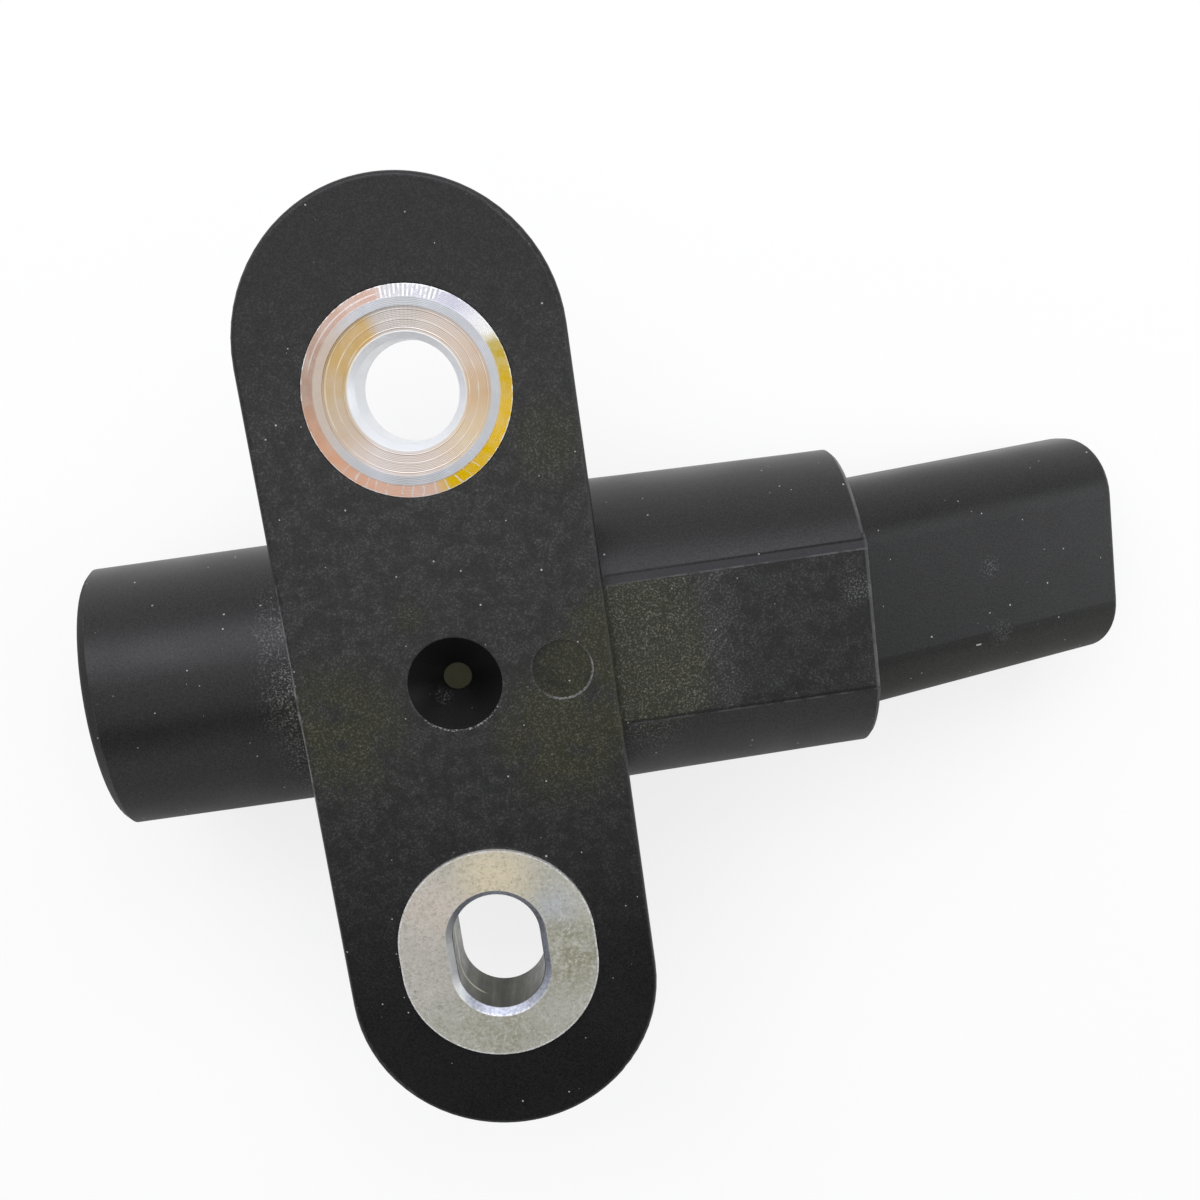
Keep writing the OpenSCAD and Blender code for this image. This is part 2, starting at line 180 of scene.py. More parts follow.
class Finish(Tree):
    """One material of the part, whose tone is laid on in coats."""

    def __init__(self, name):
        self.material = bpy.data.materials.new(name)
        self.material.use_nodes = True
        super().__init__(self.material.node_tree)
        self.shader = self.tree.nodes["Principled BSDF"]
        self.place = self.add("TexCoord").outputs["Object"]
        self.axes = self.add("SeparateXYZ", {0: self.place}).outputs
        self.tone = WHITE

    def coat(self, colour, *shares):
        """Lays a colour over the tone so far, by the product of the shares."""
        self.tone = self.mix(self.times(*shares), self.tone, colour)

    def done(self, **inputs):
        """Sets or links the shader's inputs, with underscores for the spaces in their names."""
        self.feed(self.shader.inputs["Base Color"], self.tone)
        for name, value in inputs.items():
            self.feed(self.shader.inputs[name.replace("_", " ")], value)
        return self.material

    def axis(self, letter):
        """Object coordinate in millimetres."""
        return self.math("DIVIDE", self.axes[letter], MM)

    def facing(self, letter):
        """Part of the face's own normal along an axis."""
        normal = self.add("NewGeometry").outputs["Normal"]
        return self.add("SeparateXYZ", {0: normal}).outputs[letter]

    def length(self, first, second):
        """Length of a flat vector."""
        return self.math("SQRT", self.plus(self.times(first, first), self.times(second, second)))

    def wave(self, value, pitch):
        """Sine wave along a value, of that pitch."""
        return self.math("SINE", self.times(value, math.tau / pitch))

    def noise(self, size, detail=2.0, roughness=0.5, stretch=(1, 1, 1)):
        """Noise between 0 and 1 with features of that size in millimetres."""
        at = self.add("VectorMath", {0: self.place, 1: stretch}, operation="MULTIPLY").outputs[0]
        sockets = {"Vector": at, "Scale": 1 / (size * MM), "Detail": detail, "Roughness": roughness}
        return self.add("TexNoise", sockets).outputs[0]

    def dots(self, cell, radius, seed=0.0):
        """Scattered dots of up to that radius, about one to a cell, in millimetres."""
        at = self.add("VectorMath", {0: self.place, 1: (seed, seed, seed)}, operation="ADD").outputs[0]
        node = self.add("TexVoronoi", {"Vector": at, "Scale": 1 / (cell * MM)})
        share = self.add("SeparateColor", {0: node.outputs["Color"]}).outputs[0]
        reach = self.times(share, share, radius / cell)
        return self.step(node.outputs["Distance"], reach, self.times(reach, 0.5))

    def near(self, point, full, clear):
        """One within the full radius of a point, zero beyond the clear radius, in millimetres."""
        at = Vector(point) * MM
        node = self.add("VectorMath", {0: self.place, 1: at}, operation="DISTANCE")
        return self.step(node.outputs["Value"], clear * MM, full * MM)

    def rounded(self, radius):
        """Normal with sharp edges softened over a radius in millimetres."""
        return self.add("Bevel", {"Radius": radius * MM}, samples=2).outputs[0]

    def worn(self, rounded, low=0.02, high=0.14):
        """One where a rounded normal leaves the face's own normal, so along sharp edges."""
        inputs = {0: rounded, 1: self.add("NewGeometry").outputs["Normal"]}
        dot = self.add("VectorMath", inputs, operation="DOT_PRODUCT").outputs["Value"]
        return self.step(dot, 1 - low, 1 - high)

    def bump(self, height, depth, normal=None):
        """Normal of a bumped surface; depth in millimetres for a height of one."""
        inputs = {"Height": height, "Distance": depth * MM}
        if normal is not None:
            inputs["Normal"] = normal
        return self.add("Bump", inputs).outputs[0]


# Olive blooms on the housing's front: place, full radius, clear radius and share
BLOOMS = (
    ((-8.5, -22.5), 1.5, 6.5, 1.0),
    ((7.0, -25.0), 2.0, 6.5, 1.0),
    ((MARK_X, AXIS_Y), 1.5, 2.2, 0.7),
    ((-2.5, -15.2), 0.2, 2.0, 0.6),
    ((9.0, -4.5), 0.5, 4.0, 0.8),
    ((12.5, -20.8), 4.5, 7.0, 1.0),
)

# Scuffs on the housing and specks in its centre hole: place, full radius and clear radius
PAD_END_SCUFF = ((29.1, AXIS_Y + 2.6, 3.2), 0.2, 1.7)
BELOW_PAD_SCUFF = ((12.5, AXIS_Y - 5.8, 2.6), 0.5, 4.5)
PLUG_SCUFFS = (((42.3, -25.1, -6.5), 0.2, 1.4), ((41.6, -19.6, -6.2), 0.2, 1.2))
CONE_SPECKS = ((-1.15, AXIS_Y - 1.15, 2.8), 0.2, 0.9)

# Stretches of the housing, in millimetres: where a zone begins to show and where it is full
FILM_LOWER_Y = (-46.0, -26.0)
FILM_UPPER_Y = (13.0, -6.0)
MOSS_X = (19.5, 16.5)
UPPER_LINE_X = (13.0, 17.0)
PROBE_END_X = (-20.0, -24.0)
PROBE_SCUFF_X = (-15.0, -PLATE_HALF_W)
PROBE_SCUFF_Z = (AXIS_Z, AXIS_Z + 4.0)

# Stretches of the housing, in millimetres: where a zone starts and ends
HAZE_X = (18.5, 19.5)
PROBE_SCUFF_ACROSS = (-6.0, 5.0)
PLATE_SIDE_ACROSS = (-6.0, 7.0)
FIBRE_X = (39.95, 40.3)
FIBRE_Y = (-25.7, -25.62)


class Moulding(Finish):
    """The housing's finish, with the grain and the zones that its coats share."""

    def __init__(self):
        super().__init__("black_plastic")
        self.x, self.y, self.z = (self.axis(letter) for letter in "XYZ")
        self.across = self.plus(self.y, -AXIS_Y)

        self.fine = self.noise(0.15, roughness=0.8)
        self.grain = self.step(self.fine, 0.3, 0.7)
        self.flecks = self.step(self.fine, 0.5, 0.68)
        self.patchy = self.step(self.noise(1.2, roughness=0.7), 0.35, 0.62)

        past_plate = self.step(self.x, PLATE_HALF_W, PLATE_HALF_W + 0.3)
        self.on_barrel = self.times(past_plate, self.step(self.x, BARREL_L + 0.02, BARREL_L))
        self.along_pad = self.times(self.on_barrel, self.step(self.z, 0.0, 1.0))
        self.on_pad = self.times(self.along_pad, self.band(self.across, -PAD_LOWER, PAD_UPPER, 0.05))
        self.crease = self.times(self.along_pad, self.band(self.across, CREASE - 0.04, CREASE + 0.05, 0.06))

        self.from_hole = self.length(self.x, self.across)
        below_front = self.step(self.z, PLATE_FRONT - 0.01, PLATE_FRONT - 0.08)
        self.in_hole = self.times(self.step(self.from_hole, HOLE_R, HOLE_R - 0.06), below_front)

        self.under = self.step(self.facing("Y"), -0.01, -0.4)
        near_end = self.step(self.x, *PROBE_END_X)
        self.probe_end = self.times(self.step(self.facing("X"), -0.2, -0.5), near_end)

    def broken(self, low, high):
        """Share that wanders from low to high in patches of about a millimetre."""
        return self.between(self.patchy, low, high)

    def flecked(self, ground, fleck):
        """Colour of a ground with flecks of the fine grain on it."""
        return self.mix(self.flecks, ground, fleck)


def coat_painted_lower_light(skin):
    """Painted light on the lower sides: paler where the faces turn down, neutral on the probe and the
    barrel and olive on the plug.
    """
    on_plug = skin.step(skin.x, BARREL_L, BARREL_L + 0.1)
    # The paler colour on down-facing sides is painted light.
    lower = skin.mix(on_plug, rgb(0.034, 0.034, 0.035), rgb(0.027, 0.027, 0.02))
    skin.coat(lower, skin.under, skin.between(skin.grain, 0.55, 1.0))


def coat_film(skin):
    """Thin dull film on the plate and the pad; it fades out towards the plate's ends, which paints shade on
    those ends.
    """
    on_plate = skin.step(skin.z, PLATE_FRONT - 0.08, PLATE_FRONT - 0.03)
    # The film's fade towards both ends of the plate is painted shade.
    lower_end_shade = skin.step(skin.y, *FILM_LOWER_Y)
    upper_end_shade = skin.step(skin.y, *FILM_UPPER_Y, 0.15, 1.0)
    plate_film = skin.times(on_plate, lower_end_shade, upper_end_shade)
    dusting = skin.times(skin.flecks, skin.broken(0.35, 1.0))
    film = skin.mix(dusting, grey(0.021), grey(0.07))
    skin.coat(film, skin.most(plate_film, skin.on_pad), skin.broken(0.55, 1.0), 0.75)


def coat_blooms(skin):
    """Olive blooms in the middle of the plate and on the pad's half next to the plate, and a grey haze."""
    spots = [
        skin.times(skin.near((*place, PLATE_FRONT), full, clear), share)
        for place, full, clear, share in BLOOMS
    ]
    bloom = skin.times(skin.most(*spots), skin.step(skin.noise(2.6, roughness=0.6), 0.28, 0.5))
    skin.coat(skin.flecked(rgb(0.019, 0.02, 0.007), rgb(0.08, 0.08, 0.047)), bloom, 0.8)
    moss = skin.times(skin.on_pad, skin.step(skin.x, *MOSS_X), skin.broken(0.6, 1.0))
    skin.coat(skin.flecked(rgb(0.025, 0.026, 0.017), rgb(0.15, 0.15, 0.115)), moss, 0.85)
    haze = skin.times(skin.on_pad, skin.band(skin.x, *HAZE_X, 1.6), skin.broken(0.4, 0.8))
    skin.coat(skin.flecked(grey(0.026), grey(0.13)), haze, 0.8)
    return bloom


def coat_pad_edges(skin):
    """The pad's edges: a lighter sloping strip painted as sheen, bright lines on both sides that are partly
    wear and partly painted edge highlights, and painted shade at the foot below.
    """
    # Painted sheen: the sloping strip is made lighter and bluish where it faces the light.
    strip = skin.times(skin.along_pad, skin.band(skin.across, PAD_UPPER, CREASE - 0.12, 0.06))
    skin.coat(rgb(0.024, 0.023, 0.03), strip, 0.5)
    # Bright lines along both edges of the pad: partly wear, partly painted highlights of the lit edges.
    upper_edge_wear_and_glint = skin.band(skin.across, PAD_UPPER - 0.02, PAD_UPPER + 0.04, 0.05)
    upper_edge_wear_and_glint = skin.times(upper_edge_wear_and_glint, skin.step(skin.x, *UPPER_LINE_X, 0.1, 0.7))
    lower_edge_wear_and_glint = skin.band(skin.across, -PAD_LOWER - 0.07, -PAD_LOWER, 0.03)
    skin.coat(grey(0.1), skin.along_pad, skin.most(upper_edge_wear_and_glint, lower_edge_wear_and_glint), skin.broken(0.15, 0.8))
    # Painted shade on the pad just above its lower edge, where the step beside it shades it.
    pad_foot_shade = skin.band(skin.across, -PAD_LOWER + 0.02, -PAD_LOWER + 0.15, 0.2)
    skin.coat(grey(0.0), skin.along_pad, pad_foot_shade, 0.7)


def coat_scuffs(skin):
    """Scuffs on the probe beside the plate, at the pad's end, below the pad and on the plug."""
    beside_plate = skin.times(
        skin.step(skin.x, *PROBE_SCUFF_X),
        skin.step(skin.x, -PLATE_HALF_W + 0.35, -PLATE_HALF_W),
        skin.step(skin.facing("X"), -0.9, -0.5),
        skin.step(skin.z, *PROBE_SCUFF_Z),
        skin.band(skin.across, *PROBE_SCUFF_ACROSS, 4.0),
        skin.broken(0.4, 1.0),
    )
    pad_end = skin.times(skin.near(*PAD_END_SCUFF), 0.6)
    plug = skin.times(skin.most(*(skin.near(*scuff) for scuff in PLUG_SCUFFS)), 0.45)
    past_pad = skin.step(skin.across, -PAD_LOWER, -PAD_LOWER - 0.1)
    below_pad = skin.times(skin.near(*BELOW_PAD_SCUFF), skin.on_barrel, past_pad, 0.5)
    skin.coat(grey(0.22), skin.most(beside_plate, pad_end, plug, below_pad), skin.flecks)


def coat_specks(skin):
    """White specks of dust and bare glass fibre, and one loose fibre on the plug."""
    specks = skin.dots(0.9, 0.1)
    fibre = skin.times(skin.band(skin.x, *FIBRE_X, 0.08), skin.band(skin.y, *FIBRE_Y, 0.05))
    skin.coat(grey(0.5), skin.most(specks, fibre), 0.75)


def coat_edges(skin, soft):
    """Bright edges, broken up along their length: worn edges that also serve as painted edge highlights,
    and painted highlights on the barrel's rim and the plate's left edge.
    """
    # Worn edges, partly wear and partly painted edge highlights.
    skin.coat(grey(0.1), skin.worn(soft), skin.broken(0.05, 0.6))
    # Painted highlight on the barrel's end rim.
    barrel_rim_highlight = skin.times(skin.on_barrel, skin.step(skin.x, BARREL_L - BARREL_RIM, BARREL_L))
    skin.coat(grey(0.09), barrel_rim_highlight, skin.step(skin.facing("X"), 0.95, 0.8), skin.broken(0.15, 0.6))
    # Painted highlight along the plate's left edge.
    plate_side_highlight = skin.times(
        skin.band(skin.x, -PLATE_HALF_W, -PLATE_HALF_W + 0.12, 0.06),
        skin.band(skin.across, *PLATE_SIDE_ACROSS, 3.0),
        skin.step(skin.z, PLATE_FRONT - 0.35, PLATE_FRONT - 0.15),
    )
    skin.coat(grey(0.2), plate_side_highlight, skin.broken(0.1, 0.8))


def coat_centre_hole(skin):
    """The centre hole: its cone darkened as painted shade, with specks inside it and along its lower rim.
    """
    # Painted shade: the cone inside the hole is darkened almost to black.
    skin.coat(grey(0.003), skin.in_hole, 0.9)
    in_cone = skin.times(skin.in_hole, skin.near(*CONE_SPECKS), 0.12)
    on_rim = skin.times(
        skin.band(skin.from_hole, HOLE_R - 0.03, HOLE_R + 0.06, 0.04),
        skin.step(skin.across, -1.2, -2.4, 0.0, 0.5),
        skin.step(skin.z, PLATE_FRONT - 0.4, PLATE_FRONT - 0.2),
    )
    skin.coat(grey(0.6), skin.most(in_cone, on_rim), skin.flecks)


def coat_round_mark(skin):
    """The round mark: a painted highlight on its rim, brightest at its lower right where the rim faces the
    light.
    """
    mark_x = skin.plus(skin.x, -MARK_X)
    ring = skin.band(skin.length(mark_x, skin.across), MARK_R - 0.05, MARK_R + 0.03, 0.04)
    on_front = skin.step(skin.z, PLATE_FRONT - 0.3, PLATE_FRONT - 0.2)
    lower_right = skin.plus(mark_x, skin.times(skin.across, -1.0))
    # Painted highlight, strongest on the lower right of the rim.
    rim_highlight = skin.step(lower_right, -0.5, 2.2, 0.15, 1.0)
    skin.coat(grey(0.24), ring, on_front, rim_highlight, skin.step(skin.fine, 0.36, 0.6, 0.2, 1.0))


def black_plastic():
    """Black glass-filled moulding: fine grain, olive blooms, white specks, scuffs and worn edges, with
    painted light on the lower sides, the pad's strip and the edges, and painted shade at the plate's ends,
    the pad's foot and in the centre hole.
    """
    skin = Moulding()
    soft = skin.rounded(0.12)
    skin.tone = skin.mix(skin.grain, grey(0.002), grey(0.009))
    coat_painted_lower_light(skin)
    coat_film(skin)
    bloom = coat_blooms(skin)
    coat_pad_edges(skin)
    coat_scuffs(skin)
    coat_specks(skin)
    coat_edges(skin, soft)
    coat_centre_hole(skin)
    coat_round_mark(skin)

    gloss = skin.times(
        skin.between(skin.in_hole, 0.5, 0.16),
        skin.between(skin.grain, 0.92, 1.08),
        skin.between(skin.crease, 1.0, 0.6),
        skin.between(skin.probe_end, 1.0, 0.8),
    )
    clouds = skin.step(skin.noise(6.0, detail=1.0, roughness=0.6), 0.3, 0.7, 0.33, 0.39)
    dull = skin.times(skin.most(skin.under, skin.probe_end), 0.3)
    rough = skin.plus(clouds, skin.times(bloom, 0.08), dull)
    relief = skin.bump(skin.fine, 0.009, soft)
    return skin.done(Roughness=rough, Specular_IOR_Level=gloss, Normal=relief, IOR=1.46)


# Tints of the round bush's rim and dish by the part of a turn from the right of the picture; on the rim
# these are partly passivation colour and partly painted reflections, with a painted highlight in the white
# stretch near a tenth of a turn
RIM_TINTS_AND_REFLECTIONS = (
    (0.0, rgb(0.6, 0.38, 0.01)),
    (0.085, rgb(0.46, 0.35, 0.05)),
    (0.1, rgb(0.8, 0.79, 0.75)),
    (0.13, rgb(0.66, 0.66, 0.68)),
    (0.17, rgb(0.4, 0.4, 0.47)),
    (0.24, rgb(0.5, 0.5, 0.54)),
    (0.285, rgb(0.5, 0.47, 0.46)),
    (0.297, rgb(0.45, 0.29, 0.22)),
    (0.5, rgb(0.46, 0.31, 0.23)),
    (0.6, rgb(0.82, 0.44, 0.26)),
    (0.68, rgb(1.0, 0.58, 0.4)),
    (0.793, rgb(1.0, 0.68, 0.53)),
    (0.818, rgb(1.0, 0.64, 0.01)),
    (0.93, rgb(0.93, 0.58, 0.0)),
    (1.0, rgb(0.6, 0.38, 0.01)),
)
DISH_TINTS = (
    (0.0, rgb(0.64, 0.45, 0.27)),
    (0.12, rgb(0.7, 0.57, 0.48)),
    (0.25, rgb(0.62, 0.56, 0.52)),
    (0.31, rgb(0.58, 0.52, 0.47)),
    (0.34, rgb(0.61, 0.4, 0.15)),
    (0.44, rgb(0.6, 0.41, 0.17)),
    (0.52, rgb(0.6, 0.46, 0.3)),
    (0.6, rgb(0.64, 0.5, 0.38)),
    (0.68, rgb(0.78, 0.69, 0.65)),
    (0.8, rgb(0.79, 0.68, 0.61)),
    (0.9, rgb(0.8, 0.64, 0.44)),
    (1.0, rgb(0.64, 0.45, 0.27)),
)

# Turned lines on the round bush, in millimetres
FEED_PITCH = 0.11
DISH_GROOVES_R = (4.2, 4.8, 5.44)
RIM_GROOVE_R = 6.64
DISH_TICKS_R = 4.3

# Chatter ticks to a turn
TOP_TICKS = 140
LOW_TICKS = 52
DISH_TICKS = 120

# Stretches of the round bush by the part of a turn from the right of the picture
RIM_TOP = (0.2, 0.285)
RIM_UPPER_LEFT = (0.31, 0.45)
RIM_BOTTOM = (0.66, 0.86)
RING_LEFT = (0.42, 0.56)
DISH_TOP = (0.23, 0.29)


class TurnedSteel(Finish):
    """The round bush's finish, with the radius, the turn and the zones that its coats share."""

    def __init__(self):
        super().__init__("turned_bush")
        x, self.y, self.z = (self.axis(letter) for letter in "XYZ")
        self.radius = self.length(x, self.y)
        angle = self.math("DIVIDE", self.math("ARCTAN2", self.y, x), math.tau)
        self.turn = self.math("FRACT", self.plus(angle, 1.0 + CAMERA_ROLL / math.tau))
        self.ripple = self.noise(2.2)
        self.swirl = self.plus(self.turn, self.times(self.plus(self.ripple, -0.5), 0.03))
        self.past_flare = self.step(self.radius, FLARE_R - 0.05, FLARE_R + 0.2)
        self.past_ring = self.step(self.radius, RIM_INNER_R - 0.08, RIM_INNER_R + 0.1)


def coat_bush_zones(skin):
    """The bore, paler on its upper half as painted light, the dish, the ring and the rim, with the bore's
    tone on all that lies deeper.
    """
    # Painted light: the upper half of the bore, which faces away from the lamps, is made paler.
    bore = skin.mix(skin.step(skin.y, 0.0, 3.0), rgb(0.8, 0.82, 0.84), rgb(0.97, 0.98, 0.99))
    ring = skin.mix(skin.ripple, rgb(0.52, 0.53, 0.52), rgb(0.64, 0.67, 0.76))
    ring = skin.mix(skin.times(skin.band(skin.turn, *RING_LEFT, 0.1), 0.6), ring, rgb(0.62, 0.44, 0.29))
    skin.tone = bore
    skin.coat(skin.ramp(skin.swirl, DISH_TINTS), skin.past_flare)
    skin.coat(ring, skin.step(skin.radius, RING_INNER_R - 0.12, RING_INNER_R + 0.08))
    skin.coat(skin.ramp(skin.swirl, RIM_TINTS_AND_REFLECTIONS), skin.past_ring)
    skin.coat(bore, skin.step(skin.z, PLATE_FRONT - 0.2, PLATE_FRONT - 0.4))


def coat_grooves(skin):
    """A few deeper turned grooves in the dish, and one on the upper left of the rim."""
    half_w, fade = 0.02, 0.05
    grooves = skin.most(*(skin.band(skin.radius, at - half_w, at + half_w, fade) for at in DISH_GROOVES_R))
    skin.coat(rgb(0.92, 0.86, 0.8), grooves, skin.step(skin.noise(1.6), 0.4, 0.65, 0.08, 0.5))
    rim_groove = skin.band(skin.radius, RIM_GROOVE_R - half_w, RIM_GROOVE_R + half_w, fade)
    skin.coat(grey(0.8), rim_groove, skin.band(skin.turn, *RIM_UPPER_LEFT, 0.03), 0.5)
    return grooves


def coat_ticks(skin):
    """Chatter ticks at the top of the rim and the dish, scattered ones below, and a painted highlight along
    the outer edge.
    """
    top_ticks = skin.step(skin.wave(skin.turn, 1 / TOP_TICKS), -0.4, 0.8)
    at_top = skin.times(skin.past_ring, skin.band(skin.turn, *RIM_TOP, 0.012))
    broken = skin.step(skin.noise(0.45), 0.36, 0.56)
    skin.coat(skin.mix(top_ticks, grey(0.36), grey(0.88)), at_top, broken, 0.8)
    low_ticks = skin.step(skin.wave(skin.swirl, 1 / LOW_TICKS), 0.86, 0.97)
    at_bottom = skin.times(skin.past_ring, skin.band(skin.turn, *RIM_BOTTOM, 0.03))
    scattered = skin.step(skin.noise(0.35), 0.36, 0.5)
    skin.coat(WHITE, low_ticks, at_bottom, scattered, 0.7)
    dish_ticks = skin.step(skin.wave(skin.turn, 1 / DISH_TICKS), 0.2, 0.9)
    in_dish = skin.band(skin.radius, DISH_TICKS_R, RING_INNER_R, 0.2)
    skin.coat(grey(0.38), dish_ticks, skin.band(skin.turn, *DISH_TOP, 0.02), in_dish, 0.3)
    # Painted highlight along the rim's outer edge.
    outer_edge_highlight = skin.step(skin.radius, RIM_OUTER_R - 0.1, RIM_OUTER_R - 0.04)
    skin.coat(grey(0.9), outer_edge_highlight, skin.step(skin.noise(0.4), 0.4, 0.62, 0.1, 0.9))


def turned_bush():
    """Bright turned steel with passivated tints that change round the rim, partly painted reflections and
    highlights, and a bore painted paler on its upper half.
    """
    skin = TurnedSteel()
    coat_bush_zones(skin)
    grooves = coat_grooves(skin)
    coat_ticks(skin)
    smudge = skin.step(skin.noise(1.1, detail=3.0, roughness=0.6), 0.35, 0.7)
    skin.coat(grey(0.8), smudge, 0.15)

    # The gold stretch of the rim also mirrors in gold
    gold_turn = skin.most(skin.step(skin.swirl, 0.79, 0.82), skin.step(skin.swirl, 0.1, 0.08))
    gold = skin.times(skin.past_ring, gold_turn)
    metal = skin.plus(skin.between(skin.past_flare, 0.35, 0.85), skin.times(skin.past_ring, -0.55))
    height = skin.plus(skin.times(skin.wave(skin.radius, FEED_PITCH), 0.5), skin.times(grooves, 1.2))
    return skin.done(
        Metallic=metal,
        Roughness=skin.between(smudge, 0.28, 0.38),
        Specular_Tint=skin.mix(gold, WHITE, skin.tone),
        Normal=skin.bump(height, 0.006, skin.rounded(0.03)),
    )


# Yellow, pink, rosy and cool patches on the slotted bush: place, full and clear radius, colour, share
ZINC_PATCHES = (
    ((0.5, 6.0), 0.5, 4.5, rgb(0.9, 0.78, 0.54), 0.8),
    ((-4.2, 4.2), 0.5, 4.0, rgb(0.82, 0.7, 0.62), 0.6),
    ((-5.5, -0.5), 1.0, 4.5, rgb(0.66, 0.61, 0.58), 0.4),
    ((4.6, 3.0), 0.4, 2.4, rgb(0.58, 0.62, 0.66), 0.6),
)

# Olive stain and murky patch on the slotted bush: place, full radius and clear radius
OLIVE_STAIN = ((5.2, -0.8), 0.8, 4.4)
MURKY_PATCH = ((-1.0, -6.0), 1.0, 5.0)

# Where the bevel grows paler to the left, and the painted highlight along a ledge on the slot's wall, in
# millimetres
PALE_BEVEL_X = (-2.5, -3.3)
WALL_HIGHLIGHT_X = (-1.4, -2.2)
WALL_HIGHLIGHT_Z = (2.75, 2.85)


class ZincPlate(Finish):
    """The slotted bush's finish, with the grain that its coats share."""

    def __init__(self):
        super().__init__("zinc_bush")
        self.x, self.y, self.z = (self.axis(letter) for letter in "XYZ")
        self.blotches = self.noise(0.9, detail=3.0, roughness=0.7)
        self.speckle = self.noise(0.24, roughness=0.75)
        self.burr = self.step(self.noise(0.25, roughness=0.7), 0.38, 0.62)

    def on_face(self, place, full, clear):
        """One near a place on the face, which is given from the bush's centre."""
        x, y = place
        return self.near((x, SLOT_Y + y, BUSH_TOP), full, clear)

    def from_line(self, straight):
        """Distance from a slot's centre line, whose straight part has that length."""
        past_middle = self.math("ABSOLUTE", self.plus(self.y, -SLOT_Y))
        return self.length(self.x, self.most(self.plus(past_middle, -straight / 2), 0.0))


def coat_stains(skin):
    """Tinted patches, olive stains, blotches, speckle and dark pits."""
    skin.tone = skin.mix(skin.noise(3.0, roughness=0.6), rgb(0.5, 0.495, 0.43), rgb(0.7, 0.69, 0.61))
    for place, full, clear, colour, share in ZINC_PATCHES:
        skin.coat(colour, skin.on_face(place, full, clear), share)
    olive = skin.times(skin.on_face(*OLIVE_STAIN), skin.step(skin.blotches, 0.3, 0.58))
    murky = skin.times(skin.on_face(*MURKY_PATCH), skin.step(skin.blotches, 0.36, 0.62), 0.7)
    speckled = skin.step(skin.speckle, 0.3, 0.62, 0.25, 0.85)
    skin.coat(rgb(0.3, 0.285, 0.17), skin.most(olive, murky), speckled)
    skin.coat(rgb(0.4, 0.38, 0.31), skin.step(skin.blotches, 0.52, 0.7), 0.35)
    skin.coat(rgb(0.32, 0.31, 0.24), skin.step(skin.speckle, 0.52, 0.68), 0.45)
    skin.coat(rgb(0.86, 0.85, 0.78), skin.step(skin.speckle, 0.44, 0.34), 0.35)
    pits = skin.most(skin.dots(0.8, 0.085), skin.times(skin.dots(0.42, 0.06, seed=2.3), 0.8))
    skin.coat(rgb(0.12, 0.11, 0.08), pits, 0.7)


def coat_slot(skin):
    """The slot's bevel, paler on its left, with a bright edge, and its streaked wall with a painted
    highlight along a ledge.
    """
    from_slot = skin.from_line(SLOT_STRAIGHT)
    edge = SLOT_HALF_W + SLOT_BEVEL
    foot = BUSH_TOP - SLOT_BEVEL
    above_foot = skin.step(skin.z, foot - 0.02, foot + 0.06)
    bevel = skin.times(skin.step(from_slot, edge + 0.02, edge - 0.06), above_foot)
    bevel_tone = skin.mix(skin.burr, rgb(0.4, 0.42, 0.48), rgb(0.54, 0.57, 0.66))
    skin.coat(skin.mix(skin.step(skin.x, *PALE_BEVEL_X), bevel_tone, rgb(0.66, 0.67, 0.66)), bevel)
    bevel_line = skin.band(from_slot, edge - 0.08, edge, 0.05)
    skin.coat(grey(0.8), bevel_line, skin.step(skin.z, foot, BUSH_TOP), skin.between(skin.burr, 0.1, 0.6))

    below_foot = skin.step(skin.z, foot + 0.06, foot)
    wall = skin.times(skin.step(from_slot, SLOT_HALF_W + 0.1, SLOT_HALF_W + 0.02), below_foot)
    streaks = skin.step(skin.noise(0.6, roughness=0.6, stretch=(1, 1, 0.08)), 0.35, 0.7)
    skin.coat(skin.mix(streaks, rgb(0.07, 0.07, 0.062), rgb(0.115, 0.115, 0.1)), wall)
    # Painted highlight along a ledge in the slot's wall.
    wall_highlight = skin.times(wall, skin.band(skin.z, *WALL_HIGHLIGHT_Z, 0.08), skin.step(skin.x, *WALL_HIGHLIGHT_X))
    skin.coat(rgb(0.6, 0.6, 0.44), wall_highlight, 0.7)
    return bevel, wall


def zinc_bush():
    """Dull zinc plate with olive and pink stains, dark pits, and a bright bevel and outer edge."""
    skin = ZincPlate()
    coat_stains(skin)
    bevel, wall = coat_slot(skin)
    outer_edge = skin.step(skin.from_line(SLOT_BUSH_STRAIGHT), SLOT_BUSH_R - 0.16, SLOT_BUSH_R - 0.08)
    skin.coat(grey(0.9), outer_edge, skin.between(skin.burr, 0.1, 0.9))
    height = skin.times(skin.speckle, skin.between(wall, 1.0, 0.2))
    face_rough = skin.step(skin.blotches, 0.3, 0.7, 0.44, 0.56)
    return skin.done(
        Metallic=skin.between(skin.most(wall, bevel), 0.6, 0.95),
        Roughness=skin.plus(face_rough, skin.times(wall, -0.16), skin.times(bevel, -0.08)),
        Normal=skin.bump(height, 0.02, skin.rounded(0.025)),
    )


